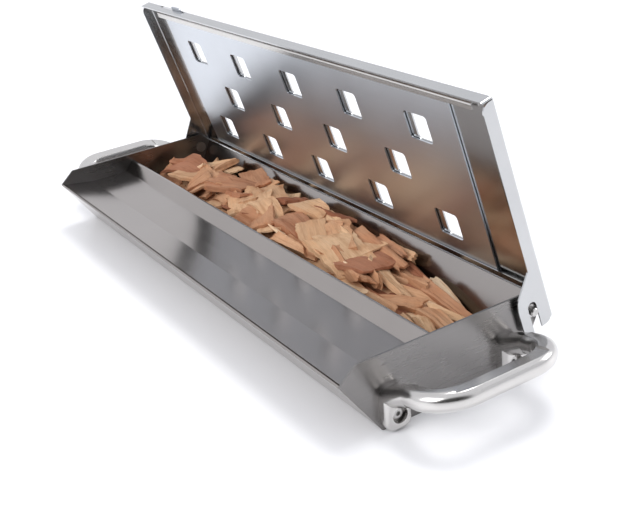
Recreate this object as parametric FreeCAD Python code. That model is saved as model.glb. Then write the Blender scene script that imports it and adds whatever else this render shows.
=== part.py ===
import FreeCAD, Part
import math
import os

from FreeCAD import Vector

# A stainless smoker box for a gas grill: a long tray with a shallow pan for liquid along its front and
# a deep trough for wood chips behind it, a lid that swings on two studs, and a perforated slide in the lid.
# X runs along the box, Y from front to back, Z up. The origin is the middle of the tray's underside.
# The lid is built closed and then turned to its open place. Sizes are in millimetres and degrees.

# ---- tray -------------------------------------------------------------------------------------------
LENGTH = 330.0
SHEET = 1.0
BEND = 1.2
FLOOR_FRONT = -33.0
FLOOR_REAR = 41.6
LIP_Y = -51.5
LIP_Z = 28.0
REAR_LIP_Y = 56.7
REAR_LIP_Z = 29.6
RIM_FRONT = -42.5
RIM_REAR = 50.2
RIM_Z = 35.5
RIM_CURVE = 1.6
LIP_ROUND = 0.8
REAR_LIP_ROUND = 1.0
RIM_REAR_ROUND = 3.0

# ---- liquid pan and the divider folded from the same sheet --------------------------------------------
PAN_FRONT_Y = -49.2
PAN_FRONT_Z = 27.7
PAN_CREASE_Y = -31.0
PAN_CREASE_Z = 25.1
PAN_FLAT_Y = -21.0
PAN_Z = 25.0
PAN_BEND = 0.6
DIVIDER_FOOT_Y = -7.0
DIVIDER_TOP_Y = -1.5
DIVIDER_TOP_Z = 31.0
DIVIDER_BACK_Y = 1.0
DIVIDER_TOE_Y = 7.0
PAN_END_GAP = 0.3

# ---- studs and lid ------------------------------------------------------------------------------------
STUD_Y = 48.7
STUD_Z = 27.0
STUD_R = 2.0
STUD_SHOULDER_R = 3.2
STUD_SHOULDER = 1.6
STUD_HEAD_R = 3.4
STUD_HEAD = 0.9
STUD_PROUD = 1.3
STUD_CHAMFER = 0.4

LID_SHEET = 0.8
LID_GAP = 0.3
LID_SIDE_GAP = 2.2
LID_FRONT_Y = -54.6
LID_REAR_Y = 57.0
LID_FLANGE = 6.9
LID_FRONT_FLANGE = 6.3
LID_BEND = 1.2
LID_SEAM = 0.5
LID_CORNER = 4.2
LID_OPEN = 75.0
EAR_FRONT = 20.0
EAR_FRONT_ROUND = 1.5
EAR_SHOULDER = 9.0
EAR_SHOULDER_DROP = 6.6
EAR_SHOULDER_ROUND = 3.0
EAR_DROP = 7.5
EAR_REAR = 10.0
EAR_ROUND = 3.4
TAIL_ROUND = 4.6
SLOT_WIDTH = 4.8
SLOT_SEAT = 5.0

# ---- vent slots and slide -------------------------------------------------------------------------------
VENT_LENGTH = 16.0
SLIDE_VENT_LENGTH = 17.0
VENT_WIDTH = 14.4
VENT_ROUND = 1.8
VENT_PITCH = 56.4
VENT_ROWS = ((75.8, 5), (49.1, 4), (22.4, 5))
SLIDE_SHIFT = -4.2
SLIDE_LENGTH = 284.0
SLIDE_FRONT = 97.5
SLIDE_REAR = 4.2
SLIDE_SHEET = 0.8
SLIDE_GAP = 0.3
SLIDE_CORNER = 1.5
SLIDE_TRAVEL_CLOSE = 15.8
SLIDE_TRAVEL_OPEN = 4.2
GUIDE_LENGTH = 310.0
GUIDE_SHEET = 0.6
GUIDE_LAP = 2.2
GUIDE_FOOT = 2.0
GUIDE_CLEAR = 0.5
GUIDE_BEND = 0.3
TAB_X = -123.0
TAB_WIDTH = 12.0
TAB_REACH = 2.0
TAB_ROUND = 1.2
WINDOW_PLAY = 1.0

# ---- handles ------------------------------------------------------------------------------------------------
HANDLE_Y = 3.9
BOLT_SPACING = 62.6
BOLT_Z = 8.0
BOSS_WIDTH = 13.0
BOSS_BOTTOM = 0.6
BOSS_TOP = 20.9
BOSS_DEPTH = 6.0
BOSS_ROUND = 6.3
BOSS_FOOT_ROUND = 4.6
BOSS_EDGE = 2.6
RECESS_R = 3.7
RECESS_FLOOR = 2.6
ARM_START = 2.2
ARM_Z = 19.0
ROOT_LENGTH = 13.0
ROOT_DROP = 3.8
ROOT_RISE = 5.6
ROOT_BELLY = 4.4
ROOT_ROUND = 5.4
BAR_OUT = 34.8
BAR_Z = 26.0
BOW_HALF_WIDTH = 30.8
BOW_CORNER = 16.0
BAR_WIDTH = 10.2
BAR_RISE = 4.2
BAR_FLAT_ROUND = 3.9
STRIP_LENGTH = 48.0
STRIP_RISE = 3.5

# ---- handle fasteners -----------------------------------------------------------------------------------------
BOLT_R = 1.5
BOLT_CLEAR_R = 1.7
BOLT_HEAD_R = 2.85
BOLT_HEAD = 1.65
BOLT_HEAD_ROUND = 0.9
BOLT_SOCKET_FLATS = 2.0
BOLT_SOCKET = 1.0
BOLT_END = 4.0
WASHER_R = 3.5
WASHER = 0.5
NUT_FLATS = 5.5
NUT = 2.4

# ---- wood chips -------------------------------------------------------------------------------------------------
CHIPS_END = 157.0
CHIPS_OUTLINE = ((1.8, 2.4), (40.6, 2.4), (53.0, 27.0), (46.0, 30.4), (12.0, 30.4), (1.8, 27.4))

HALF = LENGTH / 2.0
PLATE_IN = HALF - SHEET
STUD = Vector(0, STUD_Y, STUD_Z)
LID_UNDER = RIM_Z + LID_GAP
LID_TOP = LID_UNDER + LID_SHEET
LID_HALF = HALF + LID_SIDE_GAP + LID_SHEET
GUIDE_FACE = LID_UNDER - SLIDE_SHEET - 2 * SLIDE_GAP
X_AXIS = Vector(1, 0, 0)
Y_AXIS = Vector(0, 1, 0)
BOW_UP = Vector(ARM_Z - BAR_Z, 0, BAR_OUT - ARM_START).normalize()
BOW_TILT = math.degrees(math.atan2(BAR_Z - ARM_Z, BAR_OUT - ARM_START))


def save(shape, name):
    """Write one sub-part and report its volume."""
    shape.exportStep("parts/" + name + ".step")
    print(name, "solids", len(shape.Solids), "volume", round(shape.Volume, 1), "valid", shape.isValid())


def box(x0, x1, y0, y1, z0, z1):
    """A box between two corners."""
    return Part.makeBox(x1 - x0, y1 - y0, z1 - z0, Vector(x0, y0, z0))


def cylinder(radius, x0, x1, y, z):
    """A cylinder along X."""
    return Part.makeCylinder(radius, x1 - x0, Vector(x0, y, z), X_AXIS)


def mirrored(shape):
    """The same shape at the other end of the box."""
    return shape.mirror(Vector(0, 0, 0), X_AXIS)


def unit(a, b):
    """Direction from one point to the next."""
    return (b - a).normalize()


def rounded_upright(block, radius):
    """The block with its upright edges rounded."""
    upright = [edge for edge in block.Edges if edge.BoundBox.ZLength > block.BoundBox.ZLength * 0.9]
    return block.makeFillet(radius, upright)


def corner_edges(points, radii):
    """Straight runs joined by tangent arcs; one radius for each inner point."""
    edges = []
    start = points[0]
    for index in range(1, len(points) - 1):
        here = points[index]
        back = unit(here, points[index - 1])
        ahead = unit(here, points[index + 1])
        half = back.getAngle(ahead) / 2.0
        reach = radii[index - 1] / math.tan(half)
        first = here + back * reach
        last = here + ahead * reach
        middle = here + (back + ahead).normalize() * (radii[index - 1] / math.sin(half) - radii[index - 1])
        edges.append(Part.LineSegment(start, first).toShape())
        edges.append(Part.Arc(first, middle, last).toShape())
        start = last
    edges.append(Part.LineSegment(start, points[-1]).toShape())
    return edges


def profile(pairs, x=0.0):
    """Points in the YZ plane."""
    return [Vector(x, y, z) for y, z in pairs]


def offset_points(points, distance):
    """The same run of points moved sideways, to its left when looking along X from behind."""
    moved = []
    for index, here in enumerate(points):
        sides = []
        if index > 0:
            sides.append(X_AXIS.cross(unit(points[index - 1], here)))
        if index < len(points) - 1:
            sides.append(X_AXIS.cross(unit(here, points[index + 1])))
        if len(sides) == 1:
            moved.append(here + sides[0] * distance)
        else:
            bisector = (sides[0] + sides[1]).normalize()
            moved.append(here + bisector * (distance / bisector.dot(sides[0])))
    return moved


def bent_sheet(pairs, thickness, inner_radius, x0, x1):
    """A folded sheet: one face follows the pairs, the other lies to their left."""
    near = profile(pairs)
    far = offset_points(near, thickness)
    near_radii = []
    far_radii = []
    outer_radius = inner_radius + abs(thickness)
    for index in range(1, len(near) - 1):
        turn = unit(near[index - 1], near[index]).cross(unit(near[index], near[index + 1])).x
        far_inside = (turn > 0) == (thickness > 0)
        near_radii.append(outer_radius if far_inside else inner_radius)
        far_radii.append(inner_radius if far_inside else outer_radius)
    edges = corner_edges(near, near_radii)
    edges.append(Part.LineSegment(near[-1], far[-1]).toShape())
    edges += corner_edges(far[::-1], far_radii[::-1])
    edges.append(Part.LineSegment(far[0], near[0]).toShape())
    face = Part.Face(Part.Wire(Part.sortEdges(edges)[0]))
    face.translate(Vector(x0, 0, 0))
    return face.extrude(Vector(x1 - x0, 0, 0))


def rounded_polygon(points, radii):
    """A closed outline with a rounded corner at each point that has a radius."""
    edges = []
    count = len(points)
    ends = []
    for index, here in enumerate(points):
        back = unit(here, points[index - 1])
        ahead = unit(here, points[(index + 1) % count])
        half = back.getAngle(ahead) / 2.0
        reach = radii[index] / math.tan(half)
        middle = here + (back + ahead).normalize() * (radii[index] / math.sin(half) - radii[index])
        ends.append((here + back * reach, middle, here + ahead * reach, radii[index]))
    for index, (first, middle, last, radius) in enumerate(ends):
        if radius > 0:
            edges.append(Part.Arc(first, middle, last).toShape())
        following = ends[(index + 1) % count][0]
        if (following - last).Length > 1e-6:
            edges.append(Part.LineSegment(last, following).toShape())
    return Part.Face(Part.Wire(Part.sortEdges(edges)[0]))


def plate(pairs, radii, x0, x1):
    """A flat plate with a rounded outline, lying across X."""
    return rounded_polygon(profile(pairs, x0), radii).extrude(Vector(x1 - x0, 0, 0))


# ---- tray -----------------------------------------------------------------------------------------------
def tray_shell():
    """Bottom, sloping front wall and sloping rear wall, folded from one sheet."""
    outline = ((LIP_Y, LIP_Z), (FLOOR_FRONT, 0.0), (FLOOR_REAR, 0.0), (REAR_LIP_Y, REAR_LIP_Z))
    return bent_sheet(outline, SHEET, BEND, -PLATE_IN, PLATE_IN)


def end_plate():
    """Right end plate, with holes for the stud and the two handle bolts."""
    outline = (
        (FLOOR_FRONT, 0.0),
        (FLOOR_REAR, 0.0),
        (REAR_LIP_Y, REAR_LIP_Z),
        (RIM_REAR, RIM_Z),
        (RIM_FRONT, RIM_Z),
        (LIP_Y, LIP_Z),
    )
    radii = (BEND, BEND, REAR_LIP_ROUND, RIM_REAR_ROUND, RIM_CURVE, LIP_ROUND)
    blank = plate(outline, radii, PLATE_IN, HALF)
    blank = blank.cut(cylinder(STUD_R, PLATE_IN - 1, HALF + 1, STUD_Y, STUD_Z))
    for y in bolt_places():
        blank = blank.cut(cylinder(BOLT_CLEAR_R, PLATE_IN - 1, HALF + 1, y, BOLT_Z))
    return blank


def liquid_pan():
    """Shallow front pan, the divider ridge behind it and the divider's leg down to the floor."""
    outline = (
        (PAN_FRONT_Y, PAN_FRONT_Z),
        (PAN_CREASE_Y, PAN_CREASE_Z),
        (PAN_FLAT_Y, PAN_Z),
        (DIVIDER_FOOT_Y, PAN_Z),
        (DIVIDER_TOP_Y, DIVIDER_TOP_Z),
        (DIVIDER_BACK_Y, DIVIDER_TOP_Z),
        (DIVIDER_BACK_Y, 2 * SHEET),
        (DIVIDER_TOE_Y, 2 * SHEET),
    )
    end = PLATE_IN - PAN_END_GAP
    return bent_sheet(outline, -SHEET, PAN_BEND, -end, end)


# ---- studs ----------------------------------------------------------------------------------------------------
def hinge_stud():
    """Right lid stud: a head inside the plate, a shoulder outside it and a plain end for the lid's ear."""
    tip = LID_HALF + STUD_PROUD
    stud = cylinder(STUD_R, PLATE_IN - STUD_HEAD, tip, STUD_Y, STUD_Z)
    tip_edges = [edge for edge in stud.Edges if abs(edge.BoundBox.XMin - tip) < 1e-6 and edge.BoundBox.XLength < 1e-6]
    stud = stud.makeChamfer(STUD_CHAMFER, tip_edges)
    stud = stud.fuse(cylinder(STUD_SHOULDER_R, HALF, HALF + STUD_SHOULDER, STUD_Y, STUD_Z))
    stud = stud.fuse(cylinder(STUD_HEAD_R, PLATE_IN - STUD_HEAD, PLATE_IN, STUD_Y, STUD_Z))
    return stud.removeSplitter()


# ---- lid, built closed ----------------------------------------------------------------------------------------
def opened(shape):
    """Turn a closed lid piece to its open place about the studs."""
    turned = shape.copy()
    turned.rotate(STUD, X_AXIS, -LID_OPEN)
    return turned


def vent_centres(shift):
    """Staggered rows of slots: five, four, five."""
    centres = []
    for ahead, count in VENT_ROWS:
        for index in range(count):
            centres.append((shift + (index - (count - 1) / 2.0) * VENT_PITCH, STUD_Y - ahead))
    return centres


def vent_cutters(shift, length, z0, z1):
    """The slots as solids to cut away."""
    cutters = []
    for x, y in vent_centres(shift):
        cutter = box(x - length / 2, x + length / 2, y - VENT_WIDTH / 2, y + VENT_WIDTH / 2, z0, z1)
        cutters.append(rounded_upright(cutter, VENT_ROUND))
    return Part.makeCompound(cutters)


def pan_block(inset, z0):
    """Block with rounded front and side top edges, from which the lid's pan is made."""
    rear = LID_REAR_Y
    block = box(-LID_HALF + inset, LID_HALF - inset, LID_FRONT_Y + inset, rear, z0, LID_TOP - inset)
    bends = []
    for edge in block.Edges:
        size = edge.BoundBox
        on_top = size.ZMin > LID_TOP - inset - 1e-6
        at_rear = size.YMin > rear - 1e-6
        if on_top and not at_rear:
            bends.append(edge)
        if size.ZLength > 1.0 and not at_rear:
            bends.append(edge)
    return block.makeFillet(LID_BEND - inset, bends)


def ear_outline():
    """Side flange and hinge ear, seen from the side, with the lid closed."""
    free_edge = LID_TOP - LID_FLANGE
    tail = STUD_Y + EAR_REAR
    return (
        (LID_FRONT_Y + LID_BEND, free_edge),
        (STUD_Y - EAR_FRONT, free_edge),
        (STUD_Y - EAR_SHOULDER, STUD_Z - EAR_SHOULDER_DROP),
        (STUD_Y - EAR_SHOULDER / 2, STUD_Z - EAR_DROP),
        (tail, STUD_Z - EAR_DROP),
        (tail, LID_TOP - LID_BEND),
        (LID_FRONT_Y + LID_BEND, LID_TOP - LID_BEND),
    )


def lid_ear():
    """Right ear, with the slot that hooks over the stud and opens to the rear."""
    radii = (0, EAR_FRONT_ROUND, EAR_SHOULDER_ROUND, EAR_SHOULDER_ROUND, EAR_ROUND, EAR_ROUND, 0)
    ear = plate(ear_outline(), radii, LID_HALF - LID_SHEET, LID_HALF)
    half = SLOT_WIDTH / 2
    seat_y = STUD_Y - SLOT_SEAT + half
    slot = cylinder(half, LID_HALF - 2 * LID_SHEET, LID_HALF + LID_SHEET, seat_y, STUD_Z)
    x0 = LID_HALF - 2 * LID_SHEET
    channel = box(x0, LID_HALF + LID_SHEET, seat_y, STUD_Y + EAR_REAR + 1, STUD_Z - half, STUD_Z + half)
    return ear.cut(slot.fuse(channel))


def corner_cut():
    """Open seam beside the front flange and the rounded end of the side flange behind it."""
    deep = LID_TOP - LID_FLANGE
    x0 = LID_HALF - LID_SHEET - LID_BEND
    x1 = LID_HALF + 1
    y0 = LID_FRONT_Y + LID_SHEET
    y1 = y0 + LID_SEAM
    seam = box(x0, x1, y0, y1, deep - 1, LID_TOP - LID_BEND)
    corner = box(x0, x1, y0, y1 + LID_CORNER, deep - 1, deep + LID_CORNER)
    corner = corner.cut(cylinder(LID_CORNER, x0, x1, y1 + LID_CORNER, deep + LID_CORNER))
    return seam.fuse(corner)


def tail_cut():
    """What is cut from the lid's rear corner so that the ear's tail is round above its slot too."""
    x0 = LID_HALF - LID_SHEET - LID_BEND
    x1 = LID_HALF + 1
    tail = STUD_Y + EAR_REAR
    y = tail - TAIL_ROUND
    z = LID_TOP - TAIL_ROUND
    return box(x0, x1, y, tail + 1, z, LID_TOP + 1).cut(cylinder(TAIL_ROUND, x0, x1, y, z))


def lid():
    """Shallow pan lid with front and side flanges, hinge ears, vents and the slide tab's window."""
    deep = LID_TOP - LID_FLANGE
    short = LID_TOP - LID_FRONT_FLANGE
    pan = pan_block(0.0, deep).cut(pan_block(LID_SHEET, deep - 1))
    ear = lid_ear()
    pan = pan.fuse([ear, mirrored(ear)])
    pan = pan.cut(box(-LID_HALF, LID_HALF, LID_FRONT_Y - 1, LID_FRONT_Y + LID_SHEET, deep - 1, short))
    corners = corner_cut().fuse(tail_cut())
    pan = pan.cut([corners, mirrored(corners)])
    pan = pan.cut(vent_cutters(0.0, VENT_LENGTH, LID_UNDER - 1, LID_TOP + 1))
    return pan.cut(tab_window(LID_FRONT_Y - 1, LID_FRONT_Y + LID_BEND)).removeSplitter()


# ---- slide -----------------------------------------------------------------------------------------------------
def tab_window(y0, y1):
    """Room for the slide's tab over its whole travel."""
    half = TAB_WIDTH / 2 + WINDOW_PLAY
    x0 = TAB_X - half - SLIDE_TRAVEL_CLOSE
    x1 = TAB_X + half + SLIDE_TRAVEL_OPEN
    return box(x0, x1, y0, y1, GUIDE_FACE, LID_UNDER)


def vent_slider():
    """Perforated slide with its finger tab, nearly fully open."""
    z0 = GUIDE_FACE + SLIDE_GAP
    z1 = z0 + SLIDE_SHEET
    y0 = STUD_Y - SLIDE_FRONT
    x0 = SLIDE_SHIFT - SLIDE_LENGTH / 2
    sheet = box(x0, x0 + SLIDE_LENGTH, y0, STUD_Y - SLIDE_REAR, z0, z1)
    sheet = rounded_upright(sheet, SLIDE_CORNER)
    tab_y = LID_FRONT_Y - TAB_REACH
    tab = box(TAB_X - TAB_WIDTH / 2, TAB_X + TAB_WIDTH / 2, tab_y, y0 + 3 * TAB_ROUND, z0, z1)
    tab = rounded_upright(tab, TAB_ROUND)
    slide = sheet.fuse(tab)
    return slide.cut(vent_cutters(SLIDE_SHIFT, SLIDE_VENT_LENGTH, z0 - 1, z1 + 1)).removeSplitter()


def slider_guide(edge_y, inward):
    """Offset strip welded under the lid that holds one long edge of the slide."""
    lap = edge_y + inward * GUIDE_LAP
    upright = edge_y - inward * GUIDE_CLEAR
    foot = upright - inward * GUIDE_FOOT
    run = ((lap, GUIDE_FACE), (upright, GUIDE_FACE), (upright, LID_UNDER), (foot, LID_UNDER))
    return bent_sheet(run, inward * GUIDE_SHEET, GUIDE_BEND, -GUIDE_LENGTH / 2, GUIDE_LENGTH / 2)


def front_guide():
    """Front strip, with a window for the tab."""
    edge = STUD_Y - SLIDE_FRONT
    strip = slider_guide(edge, 1)
    return strip.cut(tab_window(edge - GUIDE_CLEAR - GUIDE_FOOT - 1, edge))


def rear_guide():
    """Rear strip."""
    return slider_guide(STUD_Y - SLIDE_REAR, -1)


# ---- handles -----------------------------------------------------------------------------------------------------
def bolt_places():
    """Y of the two bolts at one end."""
    return (HANDLE_Y - BOLT_SPACING / 2, HANDLE_Y + BOLT_SPACING / 2)


def boss(y):
    """Boss that stands against the end plate."""
    half = BOSS_WIDTH / 2
    outline = ((y - half, BOSS_BOTTOM), (y + half, BOSS_BOTTOM), (y + half, BOSS_TOP), (y - half, BOSS_TOP))
    radii = (BOSS_FOOT_ROUND, BOSS_FOOT_ROUND, BOSS_ROUND, BOSS_ROUND)
    block = plate(outline, radii, HALF, HALF + BOSS_DEPTH)
    outer = [edge for edge in block.Edges if edge.BoundBox.XMin > HALF + BOSS_DEPTH - 1e-6]
    return block.makeFillet(BOSS_EDGE, outer)


def bar_section(start, along, half, rise, belly, rounding):
    """Section round below and flatter above, square to the arm."""
    flat = half - rounding
    shoulder = rise - rounding
    side = BOW_UP.cross(along).normalize()

    def at(across, up):
        return start + side * across + BOW_UP * up

    slant = rounding * math.sqrt(0.5)
    edges = [
        Part.Arc(at(-half, 0), at(0, -belly), at(half, 0)),
        Part.LineSegment(at(half, 0), at(half, shoulder)),
        Part.Arc(at(half, shoulder), at(flat + slant, shoulder + slant), at(flat, rise)),
        Part.LineSegment(at(flat, rise), at(-flat, rise)),
        Part.Arc(at(-flat, rise), at(-flat - slant, shoulder + slant), at(-half, shoulder)),
        Part.LineSegment(at(-half, shoulder), at(-half, 0)),
    ]
    return Part.Wire([edge.toShape() for edge in edges])


def slim_section(start, along):
    """Section of the bar and of the outer part of the arms."""
    half = BAR_WIDTH / 2
    return bar_section(start, along, half, BAR_RISE, half, BAR_FLAT_ROUND)


def arm_root(start, along):
    """Thick inner part of an arm, as wide as the boss and slimming to the bar's section."""
    root = start - BOW_UP * ROOT_DROP
    thick = bar_section(root, along, BOSS_WIDTH / 2, ROOT_RISE, ROOT_BELLY, ROOT_ROUND)
    slim = slim_section(start + along * ROOT_LENGTH, along)
    return Part.makeLoft([thick, slim], True, True)


def bow():
    """The bow: it rises as it goes out and runs level along the end."""
    reach = BOLT_SPACING / 2
    near = Vector(HALF + ARM_START, HANDLE_Y - reach, ARM_Z)
    far = Vector(HALF + ARM_START, HANDLE_Y + reach, ARM_Z)
    near_corner = Vector(HALF + BAR_OUT, HANDLE_Y - BOW_HALF_WIDTH, BAR_Z)
    far_corner = Vector(HALF + BAR_OUT, HANDLE_Y + BOW_HALF_WIDTH, BAR_Z)
    near_out = unit(near, near_corner)
    far_out = unit(far, far_corner)
    first = near + near_out * ROOT_LENGTH
    points = [first, near_corner, far_corner, far + far_out * ROOT_LENGTH]
    path = Part.Wire(corner_edges(points, (BOW_CORNER, BOW_CORNER)))
    slim = path.makePipeShell([slim_section(first, near_out)], True, False)
    return slim.fuse([arm_root(near, near_out), arm_root(far, far_out)])


def strip_cut():
    """What is cut away for the long flat on top of the bar."""
    x = HALF + BAR_OUT
    y0 = HANDLE_Y - STRIP_LENGTH / 2
    block = box(x - BAR_WIDTH, x + BAR_WIDTH, y0, y0 + STRIP_LENGTH, BAR_Z + STRIP_RISE, BAR_Z + BAR_WIDTH)
    block.rotate(Vector(x, 0, BAR_Z), Y_AXIS, -BOW_TILT)
    return block


def handle():
    """Right handle: two bosses with a round pocket each and a bow that rises as it goes out."""
    body = bow().cut(strip_cut()).fuse([boss(y) for y in bolt_places()])
    for y in bolt_places():
        body = body.cut(cylinder(RECESS_R, HALF + RECESS_FLOOR, HALF + BOSS_DEPTH + BAR_WIDTH, y, BOLT_Z))
        body = body.cut(cylinder(BOLT_CLEAR_R, HALF - 1, HALF + BOSS_DEPTH, y, BOLT_Z))
    return body.removeSplitter()


def hexagon(flats, x0, x1, y, z):
    """A hexagonal prism along X."""
    radius = flats / math.sqrt(3.0)
    corners = []
    for index in range(7):
        angle = math.radians(60.0 * index)
        corners.append(Vector(x0, y + radius * math.cos(angle), z + radius * math.sin(angle)))
    return Part.Face(Part.makePolygon(corners)).extrude(Vector(x1 - x0, 0, 0))


def screws():
    """Two button-head screws, heads in the boss pockets and ends inside the tray."""
    seat = HALF + RECESS_FLOOR
    solids = []
    for y in bolt_places():
        head = cylinder(BOLT_HEAD_R, seat, seat + BOLT_HEAD, y, BOLT_Z)
        crown = [edge for edge in head.Edges if edge.BoundBox.XMin > seat + BOLT_HEAD - 1e-6]
        head = head.makeFillet(BOLT_HEAD_ROUND, crown)
        socket = hexagon(BOLT_SOCKET_FLATS, seat + BOLT_HEAD - BOLT_SOCKET, seat + BOLT_HEAD + 1, y, BOLT_Z)
        shank = cylinder(BOLT_R, PLATE_IN - BOLT_END, seat, y, BOLT_Z)
        solids.append(head.fuse(shank).cut(socket).removeSplitter())
    return Part.makeCompound(solids)


def washers():
    """Two washers inside the end plate."""
    solids = []
    for y in bolt_places():
        ring = cylinder(WASHER_R, PLATE_IN - WASHER, PLATE_IN, y, BOLT_Z)
        solids.append(ring.cut(cylinder(BOLT_CLEAR_R, PLATE_IN - 2, PLATE_IN + 1, y, BOLT_Z)))
    return Part.makeCompound(solids)


def nuts():
    """Two nuts inside the tray."""
    x1 = PLATE_IN - WASHER
    solids = []
    for y in bolt_places():
        nut = hexagon(NUT_FLATS, x1 - NUT, x1, y, BOLT_Z)
        solids.append(nut.cut(cylinder(BOLT_R, x1 - NUT - 1, x1 + 1, y, BOLT_Z)))
    return Part.makeCompound(solids)


# ---- wood chips ----------------------------------------------------------------------------------------------------
def wood_chips():
    """The load of chips as one plain block with sloping sides."""
    outline = profile(CHIPS_OUTLINE + CHIPS_OUTLINE[:1], -CHIPS_END)
    return Part.Face(Part.makePolygon(outline)).extrude(Vector(2 * CHIPS_END, 0, 0))


def save_pair(shape, name):
    """Write a right-hand sub-part and its mirror image."""
    save(shape, name + "_right")
    save(mirrored(shape), name + "_left")


def main():
    os.makedirs("parts", exist_ok=True)
    save(tray_shell(), "tray_shell")
    save(liquid_pan(), "liquid_pan")
    save_pair(end_plate(), "end_plate")
    save_pair(hinge_stud(), "hinge_stud")
    save_pair(handle(), "handle")
    save_pair(screws(), "handle_screws")
    save_pair(washers(), "handle_washers")
    save_pair(nuts(), "handle_nuts")
    save(opened(lid()), "lid")
    save(opened(vent_slider()), "vent_slider")
    save(opened(front_guide()), "slide_guide_front")
    save(opened(rear_guide()), "slide_guide_rear")
    save(wood_chips(), "wood_chips")


main()
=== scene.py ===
import math

import bpy
import numpy as np
from mathutils import Matrix, Vector


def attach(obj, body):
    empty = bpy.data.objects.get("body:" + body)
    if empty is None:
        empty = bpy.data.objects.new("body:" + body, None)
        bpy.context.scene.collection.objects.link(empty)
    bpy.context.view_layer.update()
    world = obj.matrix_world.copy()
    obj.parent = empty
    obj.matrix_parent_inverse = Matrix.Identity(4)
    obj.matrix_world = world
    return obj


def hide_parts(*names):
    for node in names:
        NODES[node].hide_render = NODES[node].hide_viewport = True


# A stainless smoker box with wood chips, on a pale table in soft studio light.
# Everything is in metres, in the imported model's frame: X along the box, Y to the hinge side, Z up.

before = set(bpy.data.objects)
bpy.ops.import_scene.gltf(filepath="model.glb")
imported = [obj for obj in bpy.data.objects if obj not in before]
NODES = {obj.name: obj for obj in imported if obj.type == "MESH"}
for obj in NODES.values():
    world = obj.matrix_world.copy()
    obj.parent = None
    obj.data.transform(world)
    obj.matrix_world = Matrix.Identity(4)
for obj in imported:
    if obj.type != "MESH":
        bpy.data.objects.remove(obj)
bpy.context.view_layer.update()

# ---- camera ------------------------------------------------------------------------------------------
CAMERA_PLACE = Vector((0.4820, -0.2307, 0.2518))
CAMERA_YAW = math.radians(29.3)
CAMERA_PITCH = math.radians(24.5)
CAMERA_ROLL = math.radians(-6.8)
CAMERA_LENS = 59.8
CAMERA_SENSOR = 36.0
CAMERA_SHIFT_Y = 0.0036
CAMERA_NEAR = 0.01

# ---- studio ------------------------------------------------------------------------------------------
PALE_COLOUR = (0.95, 0.96, 1.0, 1.0)
PALE_STRENGTH = 0.97
DARK_COLOUR = (0.90, 0.88, 0.86, 1.0)
DARK_STRENGTH = 0.05
DARK_SIDE = (0.80, -0.58, 0.06)
DARK_EDGE = (0.60, 0.86)

# Each lamp's name, place, size and power in watts. All of them point at the origin.
LAMPS = (
    ("overhead", (-0.15, 0.45, 1.5), (0.8, 0.6), 11.0),
    ("rear_right", (0.6, 1.5, 0.8), (0.8, 0.6), 7.0),
    ("front_fill", (0.1, -1.6, 1.1), (1.4, 1.0), 14.0),
)

TABLE_NEAR = -3.0
TABLE_DEPTH = 2.4
TABLE_HALF = 4.0
TABLE_CURVE = 0.9
TABLE_CURVE_STEPS = 12
WALL_TOP = 2.4
TABLE_GAP = 0.0001
TABLE_CLOUD = 6.0
TABLE_TINTS = ((0.3, (0.87, 0.87, 0.885)), (0.7, (0.89, 0.89, 0.90)))
TABLE_ROUGH = 0.32
TABLE_GLOSS = 0.45

# ---- steel -------------------------------------------------------------------------------------------
# Stretch of the fine streaks: low along the direction that the steel was rolled or turned in.
ALONG_X = (14.0, 900.0, 900.0)
ALONG_Y = (900.0, 14.0, 900.0)
ALONG_Z = (900.0, 900.0, 30.0)
EVEN = (160.0, 160.0, 160.0)

TRAY_COLOUR = (0.37, 0.345, 0.33)
PAN_COLOUR = (0.38, 0.352, 0.335)
# Darkened to paint in the shade and the dark reflections that the end plates show: painted shade, not the
# steel's own colour.
END_PAINTED_SHADE_COLOUR = (0.25, 0.24, 0.235)
LID_COLOUR = (0.55, 0.555, 0.56)
SLIDE_COLOUR = (0.60, 0.63, 0.67)
GUIDE_COLOUR = (0.60, 0.585, 0.565)
CAST_COLOUR = (0.63, 0.615, 0.60)
TURNED_COLOUR = (0.52, 0.51, 0.50)

# Each finish: colour, roughness and its spread, streak direction, depth of the streaks, bump.
FINISHES = {
    "tray_steel": (TRAY_COLOUR, 0.17, 0.05, ALONG_X, 0.05, 0.12),
    "pan_steel": (PAN_COLOUR, 0.16, 0.05, ALONG_X, 0.05, 0.12),
    # The end plates' finishes carry that painted shade in their colour.
    "end_steel_painted_shade_left": (END_PAINTED_SHADE_COLOUR, 0.26, 0.06, ALONG_Y, 0.08, 0.08),
    "end_steel_painted_shade_right": (END_PAINTED_SHADE_COLOUR, 0.26, 0.06, ALONG_Y, 0.08, 0.08),
    "lid_steel": (LID_COLOUR, 0.17, 0.04, ALONG_X, 0.04, 0.08),
    "slide_steel": (SLIDE_COLOUR, 0.30, 0.06, ALONG_X, 0.06, 0.18),
    "guide_steel_front": (GUIDE_COLOUR, 0.2, 0.04, ALONG_X, 0.04, 0.1),
    "guide_steel_rear": (GUIDE_COLOUR, 0.2, 0.04, ALONG_X, 0.04, 0.1),
    "cast_steel": (CAST_COLOUR, 0.20, 0.08, EVEN, 0.05, 0.25),
    "turned_steel": (TURNED_COLOUR, 0.26, 0.08, ALONG_Z, 0.08, 0.15),
}
NODE_FINISHES = {
    "tray_shell": "tray_steel",
    "liquid_pan": "pan_steel",
    "end_plate_left": "end_steel_painted_shade_left",
    "end_plate_right": "end_steel_painted_shade_right",
    "lid": "lid_steel",
    "vent_slider": "slide_steel",
    "slide_guide_front": "guide_steel_front",
    "slide_guide_rear": "guide_steel_rear",
    "handle_left": "cast_steel",
    "handle_right": "cast_steel",
}
SMALL_PART_FINISH = "turned_steel"
STEEL_CLOUD = 28.0
CLOUD_EDGES = (0.3, 0.7)
STEEL_SHADE = 0.94
STREAK_ROUGHNESS = 0.6
STEEL_BUMP_DEPTH = 0.00004

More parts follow.
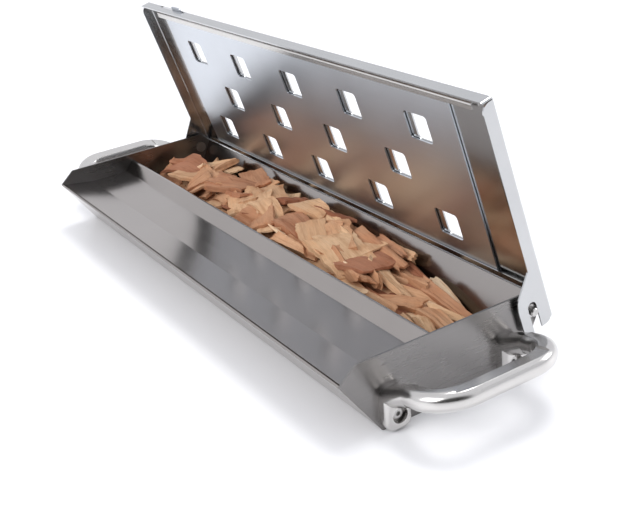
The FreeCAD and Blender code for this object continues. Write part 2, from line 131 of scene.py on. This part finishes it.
# ---- wood --------------------------------------------------------------------------------------------
FIBRE_COARSE = (22.0, 260.0, 260.0)
FIBRE_FINE = (90.0, 1500.0, 1500.0)
WOOD_PATCH = 60.0
WOOD_TONES = (
    (0.00, (0.24, 0.090, 0.046)),
    (0.20, (0.43, 0.200, 0.118)),
    (0.42, (0.50, 0.265, 0.150)),
    (0.62, (0.62, 0.375, 0.220)),
    (0.82, (0.72, 0.490, 0.300)),
    (1.00, (0.84, 0.670, 0.480)),
)
WHITE = (1.0, 1.0, 1.0)
WOOD_LINES = ((0.30, (0.72, 0.60, 0.52)), (0.50, WHITE), (0.70, (1.10, 1.07, 1.03)))
WOOD_HAIRS = ((0.30, (0.84, 0.79, 0.74)), (0.55, WHITE))
WOOD_BLUSH = ((0.35, (0.92, 0.80, 0.72)), (0.60, WHITE))
BLUSH_SHARE = 0.8
WOOD_ROUGH = 0.78
WOOD_GLOSS = 0.28
COARSE_SHARE = 0.7
FINE_SHARE = 0.3
WOOD_BUMP = 0.9
WOOD_BUMP_DEPTH = 0.0005

# ---- the chip trough and its load --------------------------------------------------------------------
TROUGH_END = 0.1605
TROUGH_FRONT = 0.0022
TROUGH_REAR = 0.0535
TROUGH_FLOOR = 0.0022
GRID_REAR = 0.054
MIDDLE_REAR = 0.052
CELL = 0.001
REAR_WALL_FOOT = (0.0405, 0.0012)
REAR_WALL_HEAD = (0.0553, 0.0300)
WALL_CLEAR = 0.0003
CHIP_CEILING = 0.0332

LOAD_TOP = 0.0255
HEAP_X = -0.045
HEAP_REACH = 0.060
HEAP_RISE = 0.0065
FALL_FROM = 0.06
FALL_REACH = 0.10
FALL = 0.015

# ---- chips -------------------------------------------------------------------------------------------
CHIP_SEED = 21
CHIP_COUNT = 250
CHIP_GROUPS = 6
PLACE_TRIES = 14
TOO_HIGH = 0.0015
SLIVER_SHARE = 0.42
SLIVER = {
    "length": (0.026, 0.052),
    "aspect": (0.13, 0.28),
    "thick": (0.0024, 0.0046),
    "first_x": 0.01,
    "yaw": 0.45,
}
FLAKE = {
    "length": (0.018, 0.042),
    "aspect": (0.45, 0.95),
    "thick": (0.0018, 0.0040),
    "first_x": -TROUGH_END,
    "yaw": 0.80,
}
WIDEST_CHIP = 0.030
CHIP_COLUMNS = 13
CHIP_ROWS = 7
END_SKEW = 0.5
SKEW_REACH = 0.35
TAPER_MOST = 0.55
END_JAG = 0.045
LAST_COLUMN = 0.99
EDGE_RAG = 0.03
EDGE_BOW = 0.1
FACE_RIDGE = 0.12
FACE_ROUGH = 0.05
WEDGE_ALONG = 0.35
WEDGE_ACROSS = 0.45
THIN_FROM = 0.75
THIN_END = 0.55
THINNEST = 0.08
BEND = 0.10
BEND_LEVEL = 0.4
TWIST = 0.12
STEEPEST = 0.8
SETTLED = 0.9
LOOSENESS = 0.20
SUPPORT_PERCENTILE = 90
TONE_SHAPE = (1.5, 1.1)
FIBRE_SPREAD = 5


# ---- materials ---------------------------------------------------------------------------------------
# Blender's Mix node has a set of sockets for each kind of value; these are its colour sockets.
MIX_COLOUR_A = 6
MIX_COLOUR_B = 7
MIX_COLOUR_OUT = 2


class Shader:
    """A material with short calls for adding and joining nodes."""

    def __init__(self, name):
        self.material = bpy.data.materials.new(name)
        self.material.use_nodes = True
        self.tree = self.material.node_tree
        self.surface = self.tree.nodes["Principled BSDF"]

    def add(self, kind, settings=None, **inputs):
        node = self.tree.nodes.new(kind)
        for key, value in (settings or {}).items():
            setattr(node, key, value)
        for key, value in inputs.items():
            self.put(node.inputs[key.replace("_", " ")], value)
        return node

    def put(self, socket, value):
        if isinstance(value, bpy.types.NodeSocket):
            self.tree.links.new(value, socket)
        else:
            socket.default_value = value

    def ramp(self, factor, stops):
        stops = list(stops)
        node = self.add("ShaderNodeValToRGB", Fac=factor)
        elements = node.color_ramp.elements
        while len(elements) < len(stops):
            elements.new(0.5)
        for element, (place, colour) in zip(elements, stops):
            element.position = place
            element.color = (*colour, 1.0)
        return node.outputs["Color"]

    def math(self, operation, *values):
        node = self.add("ShaderNodeMath", {"operation": operation})
        for socket, value in zip(node.inputs, values):
            self.put(socket, value)
        return node.outputs[0]

    def noise(self, vector, scale=1.0, detail=3.0, roughness=0.55):
        node = self.add("ShaderNodeTexNoise", Vector=vector, Scale=scale, Detail=detail, Roughness=roughness)
        return node.outputs["Fac"]

    def mapped(self, vector, scale):
        return self.add("ShaderNodeMapping", Vector=vector, Scale=scale).outputs["Vector"]

    def multiply(self, factor, a, b):
        node = self.add("ShaderNodeMix", {"data_type": "RGBA", "blend_type": "MULTIPLY"})
        self.put(node.inputs[0], factor)
        self.put(node.inputs[MIX_COLOUR_A], a)
        self.put(node.inputs[MIX_COLOUR_B], b)
        return node.outputs[MIX_COLOUR_OUT]

    def bump(self, height, strength, distance):
        node = self.add("ShaderNodeBump", Height=height, Strength=strength, Distance=distance)
        self.put(self.surface.inputs["Normal"], node.outputs["Normal"])


def steel(name, colour, rough, spread, grain, streaks, bump):
    """Rolled, cast or turned steel: fine streaks over slow, cloudy wear."""
    made = Shader(name)
    place = made.add("ShaderNodeTexCoord").outputs["Object"]
    fine = made.noise(made.mapped(place, grain), detail=4.0, roughness=0.6)
    cloud = made.noise(place, STEEL_CLOUD, roughness=0.5)
    worn_colour = [channel * STEEL_SHADE for channel in colour]
    tint = made.ramp(cloud, zip(CLOUD_EDGES, (worn_colour, colour)))
    streak = made.math("MULTIPLY_ADD", fine, streaks, 1.0 - streaks * 0.5)
    shade = made.add("ShaderNodeHueSaturation", Value=streak, Color=tint).outputs["Color"]
    made.put(made.surface.inputs["Base Color"], shade)
    worn = made.math("MULTIPLY_ADD", cloud, spread, rough - spread * 0.5)
    grainy = made.math("MULTIPLY_ADD", fine, spread * STREAK_ROUGHNESS, worn)
    made.put(made.surface.inputs["Roughness"], grainy)
    made.surface.inputs["Metallic"].default_value = 1.0
    made.bump(fine, bump, STEEL_BUMP_DEPTH)
    return made.material


def wood():
    """Split wood: fibres along each chip, and a tone of its own for each."""
    made = Shader("split_wood")
    fibre = made.add("ShaderNodeAttribute", {"attribute_name": "fibre"}).outputs["Vector"]
    tone = made.add("ShaderNodeAttribute", {"attribute_name": "tone"}).outputs["Fac"]
    coarse = made.noise(made.mapped(fibre, FIBRE_COARSE), detail=5.0, roughness=0.65)
    fine = made.noise(made.mapped(fibre, FIBRE_FINE), detail=4.0, roughness=0.7)
    patch = made.noise(fibre, WOOD_PATCH, roughness=0.5)
    colour = made.multiply(1.0, made.ramp(tone, WOOD_TONES), made.ramp(coarse, WOOD_LINES))
    colour = made.multiply(1.0, colour, made.ramp(fine, WOOD_HAIRS))
    colour = made.multiply(BLUSH_SHARE, colour, made.ramp(patch, WOOD_BLUSH))
    made.put(made.surface.inputs["Base Color"], colour)
    made.surface.inputs["Roughness"].default_value = WOOD_ROUGH
    made.surface.inputs["Specular IOR Level"].default_value = WOOD_GLOSS
    coarse_part = made.math("MULTIPLY", coarse, COARSE_SHARE)
    fine_part = made.math("MULTIPLY", fine, FINE_SHARE)
    made.bump(made.math("ADD", coarse_part, fine_part), WOOD_BUMP, WOOD_BUMP_DEPTH)
    return made.material


def dress_nodes():
    """Give every carried-over node its finish. The block of chips has none, because chips replace it."""
    made = {name: steel(name, *values) for name, values in FINISHES.items()}
    for name, node in NODES.items():
        if name == "wood_chips":
            continue
        node.data.materials.clear()
        node.data.materials.append(made[NODE_FINISHES.get(name, SMALL_PART_FINISH)])


# ---- the load of chips -------------------------------------------------------------------------------
def wall_height(y):
    """Height of the trough's sloping rear wall over a place Y."""
    low_y, low_z = REAR_WALL_FOOT
    high_y, high_z = REAR_WALL_HEAD
    return low_z + (y - low_y) * (high_z - low_z) / (high_y - low_y)


def wanted_height(x):
    """Top of the load along the trough: a heap left of the middle, thinner towards the right end."""
    heap = HEAP_RISE * math.exp(-(((x - HEAP_X) / HEAP_REACH) ** 2))
    fall = FALL * max(0.0, (x - FALL_FROM) / FALL_REACH)
    return LOAD_TOP + heap - fall


class Pile:
    """Height of the load at each place in the trough, while chips are laid one on another."""

    def __init__(self):
        self.xs = np.arange(-TROUGH_END, TROUGH_END + CELL, CELL)
        self.ys = np.arange(TROUGH_FRONT, GRID_REAR, CELL)
        wall = np.maximum(wall_height(self.ys), TROUGH_FLOOR)
        self.height = np.tile(wall, (len(self.xs), 1))

    def index(self, points):
        i = np.clip(np.round((points[:, 0] - self.xs[0]) / CELL).astype(int), 0, len(self.xs) - 1)
        j = np.clip(np.round((points[:, 1] - self.ys[0]) / CELL).astype(int), 0, len(self.ys) - 1)
        return i, j

    def under(self, points):
        return self.height[self.index(points)]

    def cover(self, points):
        i, j = self.index(points)
        np.maximum.at(self.height, (i, j), points[:, 2])


def chip_outline(rng, u, v, length, width):
    """The grid's X and Y: skewed and jagged ends, a taper along the chip, ragged and bowed edges."""
    skew_right, skew_left = rng.uniform(-END_SKEW, END_SKEW, 2)
    taper = rng.uniform(0.0, TAPER_MOST)
    jag = rng.normal(0, END_JAG, (1, CHIP_ROWS)) * (np.abs(u) > LAST_COLUMN)
    skew = np.where(u > 0, skew_right, skew_left)
    x = (u + skew * v * SKEW_REACH * np.abs(u) + jag) * length / 2
    ragged = 1.0 + rng.normal(0, EDGE_RAG, (CHIP_COLUMNS, 1))
    bow = rng.uniform(-EDGE_BOW, EDGE_BOW) * width * u * u
    y = v * (1 - taper * (u * 0.5 + 0.5)) * ragged * width / 2 + bow
    return x, y


def chip_points(rng, kind):
    """One chip lying flat, with its length along X: the grid of its top, then the grid of its underside."""
    length = rng.uniform(*kind["length"])
    width = min(length * rng.uniform(*kind["aspect"]), WIDEST_CHIP)
    thick = rng.uniform(*kind["thick"])
    u = np.linspace(-1, 1, CHIP_COLUMNS)[:, None]
    v = np.linspace(-1, 1, CHIP_ROWS)[None, :]
    x, y = chip_outline(rng, u, v, length, width)
    ridge = rng.normal(0, FACE_RIDGE, (1, CHIP_ROWS))
    ridge = ridge + rng.normal(0, FACE_ROUGH, (CHIP_COLUMNS, CHIP_ROWS))
    slope_u = rng.uniform(-WEDGE_ALONG, WEDGE_ALONG) * u
    slope_v = rng.uniform(-WEDGE_ACROSS, WEDGE_ACROSS) * v
    wedge = 1.0 + slope_u + slope_v
    thin_end = 1.0 - THIN_END * np.maximum(np.abs(u) - THIN_FROM, 0) / (1.0 - THIN_FROM)
    above = np.maximum(thick / 2 * (wedge + ridge) * thin_end, thick * THINNEST)
    groove = rng.normal(0, FACE_RIDGE, (1, CHIP_ROWS))
    below = np.maximum(thick / 2 * (wedge + groove) * thin_end, thick * THINNEST)
    bend = rng.uniform(-BEND, BEND) * length * (u * u - BEND_LEVEL)
    bend = bend + rng.uniform(-TWIST, TWIST) * width * u * v
    top = np.stack([x, y, above + bend], -1).reshape(-1, 3)
    bottom = np.stack([x, y, -below + bend], -1).reshape(-1, 3)
    return np.concatenate([top, bottom])


def chip_faces():
    """Faces that close any chip: its top, its underside and the rim between them."""
    count = CHIP_COLUMNS * CHIP_ROWS
    last_column, last_row = CHIP_COLUMNS - 1, CHIP_ROWS - 1

    def at(i, j):
        return i * CHIP_ROWS + j

    faces = []
    for i in range(last_column):
        for j in range(last_row):
            quad = (at(i, j), at(i + 1, j), at(i + 1, j + 1), at(i, j + 1))
            faces.append(quad)
            faces.append(tuple(k + count for k in quad[::-1]))
    rim = [at(i, 0) for i in range(CHIP_COLUMNS)]
    rim += [at(last_column, j) for j in range(1, CHIP_ROWS)]
    rim += [at(i, last_row) for i in range(last_column - 1, -1, -1)]
    rim += [at(0, j) for j in range(last_row - 1, 0, -1)]
    for a, b in zip(rim, rim[1:] + rim[:1]):
        faces.append((b, a, a + count, b + count))
    return faces


def across_trough(points):
    """Whether every point is between the divider and the rear wall's top."""
    return points[:, 1].min() >= TROUGH_FRONT and points[:, 1].max() <= TROUGH_REAR


def lay_on(pile, points, x, y, yaw, rng):
    """The chip laid on the load at a place, or None where it doesn't fit."""
    c, s = math.cos(yaw), math.sin(yaw)
    flat = points[:, :2] @ np.array([[c, s], [-s, c]]) + (x, y)
    if flat[:, 0].min() < -TROUGH_END or flat[:, 0].max() > TROUGH_END or not across_trough(flat):
        return None
    local = flat - (x, y)
    design = np.column_stack([local, np.ones(len(local))])
    slope, *_ = np.linalg.lstsq(design, pile.under(flat), rcond=None)
    gx, gy = np.clip(slope[:2], -STEEPEST, STEEPEST) * SETTLED + rng.normal(0, LOOSENESS, 2)
    normal = Vector((-gx, -gy, 1.0)).normalized()
    along = Vector((c, s, 0.0))
    along = (along - normal * along.dot(normal)).normalized()
    turn = np.array([along, normal.cross(along), normal]).T
    placed = points @ turn.T + (x, y, 0.0)
    if not across_trough(placed):
        return None
    placed[:, 2] += np.percentile(pile.under(placed) - placed[:, 2], SUPPORT_PERCENTILE)
    wall = np.maximum(wall_height(placed[:, 1]) + WALL_CLEAR, TROUGH_FLOOR)
    placed[:, 2] += max(0.0, (wall - placed[:, 2]).max())
    if placed[:, 2].max() > CHIP_CEILING:
        return None
    return placed


def lowest_place(pile, points, kind, rng):
    """Of several places, the one where the chip lies furthest below the wanted height."""
    best = None
    for _ in range(PLACE_TRIES):
        x = rng.uniform(kind["first_x"], TROUGH_END)
        y = rng.uniform(TROUGH_FRONT, MIDDLE_REAR)
        yaw = rng.normal(0, kind["yaw"])
        placed = lay_on(pile, points, x, y, yaw, rng)
        if placed is None:
            continue
        over = placed[:, 2].mean() - wanted_height(x)
        if best is None or over < best[0]:
            best = (over, placed, x)
    return best


def make_chips():
    """Chips laid one by one, sorted into equal stretches of the trough."""
    rng = np.random.default_rng(CHIP_SEED)
    pile = Pile()
    groups = [{"points": [], "tone": [], "fibre": []} for _ in range(CHIP_GROUPS)]
    for _ in range(CHIP_COUNT):
        kind = SLIVER if rng.random() < SLIVER_SHARE else FLAKE
        points = chip_points(rng, kind)
        best = lowest_place(pile, points, kind, rng)
        if best is None or best[0] > TOO_HIGH:
            continue
        _, placed, x = best
        top = placed[: CHIP_COLUMNS * CHIP_ROWS]
        pile.cover(top)
        share = (x + TROUGH_END) / (2 * TROUGH_END)
        group = groups[min(int(share * CHIP_GROUPS), CHIP_GROUPS - 1)]
        group["points"].append(placed)
        group["tone"].append(np.full(len(placed), rng.beta(*TONE_SHAPE)))
        group["fibre"].append(points + rng.uniform(0, FIBRE_SPREAD, 3))
    return groups


def group_mesh(name, group, faces):
    """One mesh of a group's chips, with the tone and the fibre place of every point."""
    points = np.concatenate(group["points"])
    per_chip = len(group["points"][0])
    all_faces = []
    for start in range(0, len(points), per_chip):
        all_faces += [tuple(k + start for k in face) for face in faces]
    mesh = bpy.data.meshes.new(name)
    mesh.from_pydata(points.tolist(), [], all_faces)
    tone = mesh.attributes.new("tone", "FLOAT", "POINT")
    tone.data.foreach_set("value", np.concatenate(group["tone"]).astype(np.float32))
    fibre = mesh.attributes.new("fibre", "FLOAT_VECTOR", "POINT")
    fibre.data.foreach_set("vector", np.concatenate(group["fibre"]).astype(np.float32).ravel())
    return mesh


def build_chips(material):
    """One object for each stretch of the trough; the CAD block is hidden when the first is made."""
    faces = chip_faces()
    for number, group in enumerate(make_chips(), 1):
        mesh = group_mesh(f"chips_{number}", group, faces)
        mesh.materials.append(material)
        piece = bpy.data.objects.new(f"wood_chips_{number}", mesh)
        bpy.context.scene.collection.objects.link(piece)
        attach(piece, "tray")
        if number == 1:
            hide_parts("wood_chips")


# ---- studio ------------------------------------------------------------------------------------------
def table_outline():
    """The table's section as (Y, Z) points: a flat top, a quarter circle behind it and a wall."""
    bend_y = TABLE_DEPTH - TABLE_CURVE
    outline = [(TABLE_NEAR, 0.0), (bend_y, 0.0)]
    for step in range(1, TABLE_CURVE_STEPS + 1):
        angle = math.pi / 2 * step / TABLE_CURVE_STEPS
        outline.append((bend_y + TABLE_CURVE * math.sin(angle), TABLE_CURVE - TABLE_CURVE * math.cos(angle)))
    outline.append((TABLE_DEPTH, WALL_TOP))
    return outline


def table_white():
    """Satin white with a faint, slow change of tint."""
    made = Shader("table_white")
    place = made.add("ShaderNodeTexCoord").outputs["Object"]
    tint = made.ramp(made.noise(place, TABLE_CLOUD, detail=2.0), TABLE_TINTS)
    made.put(made.surface.inputs["Base Color"], tint)
    made.surface.inputs["Roughness"].default_value = TABLE_ROUGH
    made.surface.inputs["Specular IOR Level"].default_value = TABLE_GLOSS
    return made.material


def make_floor():
    """A pale table top, curving up far behind into a pale wall."""
    outline = table_outline()
    points = [(x, y, z - TABLE_GAP) for y, z in outline for x in (-TABLE_HALF, TABLE_HALF)]
    faces = [(2 * k, 2 * k + 1, 2 * k + 3, 2 * k + 2) for k in range(len(outline) - 1)]
    mesh = bpy.data.meshes.new("table")
    mesh.from_pydata(points, [], faces)
    mesh.polygons.foreach_set("use_smooth", [True] * len(faces))
    mesh.materials.append(table_white())
    table = bpy.data.objects.new("table", mesh)
    bpy.context.scene.collection.objects.link(table)


def area_light(name, place, size, power):
    """A soft rectangular lamp pointed at the origin."""
    data = bpy.data.lights.new(name, "AREA")
    data.shape = "RECTANGLE"
    data.size, data.size_y = size
    data.energy = power
    lamp = bpy.data.objects.new(name, data)
    lamp.location = place
    lamp.rotation_mode = "QUATERNION"
    lamp.rotation_quaternion = (-Vector(place)).to_track_quat("-Z", "Y")
    bpy.context.scene.collection.objects.link(lamp)


def dark_share(tree):
    """How dark the room is along a ray: dark low on the camera's side, and for reflections only."""
    place = tree.nodes.new("ShaderNodeTexCoord")
    toward = tree.nodes.new("ShaderNodeVectorMath")
    toward.operation = "DOT_PRODUCT"
    toward.inputs[1].default_value = Vector(DARK_SIDE).normalized()
    tree.links.new(place.outputs["Generated"], toward.inputs[0])
    edge = tree.nodes.new("ShaderNodeMapRange")
    edge.interpolation_type = "SMOOTHSTEP"
    edge.inputs["From Min"].default_value = DARK_EDGE[0]
    edge.inputs["From Max"].default_value = DARK_EDGE[1]
    tree.links.new(toward.outputs["Value"], edge.inputs["Value"])
    rays = tree.nodes.new("ShaderNodeLightPath")
    share = tree.nodes.new("ShaderNodeMath")
    share.operation = "MULTIPLY"
    tree.links.new(edge.outputs["Result"], share.inputs[0])
    tree.links.new(rays.outputs["Is Glossy Ray"], share.inputs[1])
    return share.outputs[0]


def make_world():
    """Pale surroundings, with a dark side that steel reflects."""
    world = bpy.data.worlds.new("studio")
    bpy.context.scene.world = world
    world.use_nodes = True
    tree = world.node_tree
    pale = tree.nodes["Background"]
    pale.inputs["Color"].default_value = PALE_COLOUR
    pale.inputs["Strength"].default_value = PALE_STRENGTH
    dark = tree.nodes.new("ShaderNodeBackground")
    dark.inputs["Color"].default_value = DARK_COLOUR
    dark.inputs["Strength"].default_value = DARK_STRENGTH
    mix = tree.nodes.new("ShaderNodeMixShader")
    tree.links.new(dark_share(tree), mix.inputs[0])
    tree.links.new(pale.outputs[0], mix.inputs[1])
    tree.links.new(dark.outputs[0], mix.inputs[2])
    tree.links.new(mix.outputs[0], tree.nodes["World Output"].inputs["Surface"])


def make_light():
    """The world, a lamp above, soft lamps behind and in front, and plain display colours."""
    make_world()
    for name, place, size, power in LAMPS:
        area_light(name, place, size, power)
    bpy.context.scene.view_settings.view_transform = "Standard"


def make_camera():
    """The camera, turned by yaw, pitch and roll."""
    ahead = Vector((
        -math.cos(CAMERA_YAW) * math.cos(CAMERA_PITCH),
        math.sin(CAMERA_YAW) * math.cos(CAMERA_PITCH),
        -math.sin(CAMERA_PITCH),
    ))
    right = Vector((math.sin(CAMERA_YAW), math.cos(CAMERA_YAW), 0.0))
    up = right.cross(ahead)
    turned_right = right * math.cos(CAMERA_ROLL) + up * math.sin(CAMERA_ROLL)
    turned_up = up * math.cos(CAMERA_ROLL) - right * math.sin(CAMERA_ROLL)
    data = bpy.data.cameras.new("camera")
    data.lens = CAMERA_LENS
    data.sensor_width = CAMERA_SENSOR
    data.shift_y = CAMERA_SHIFT_Y
    data.clip_start = CAMERA_NEAR
    camera = bpy.data.objects.new("camera", data)
    bpy.context.scene.collection.objects.link(camera)
    axes = Matrix((turned_right, turned_up, -ahead)).transposed()
    camera.matrix_world = Matrix.Translation(CAMERA_PLACE) @ axes.to_4x4()
    bpy.context.scene.camera = camera


dress_nodes()
build_chips(wood())
make_floor()
make_light()
make_camera()
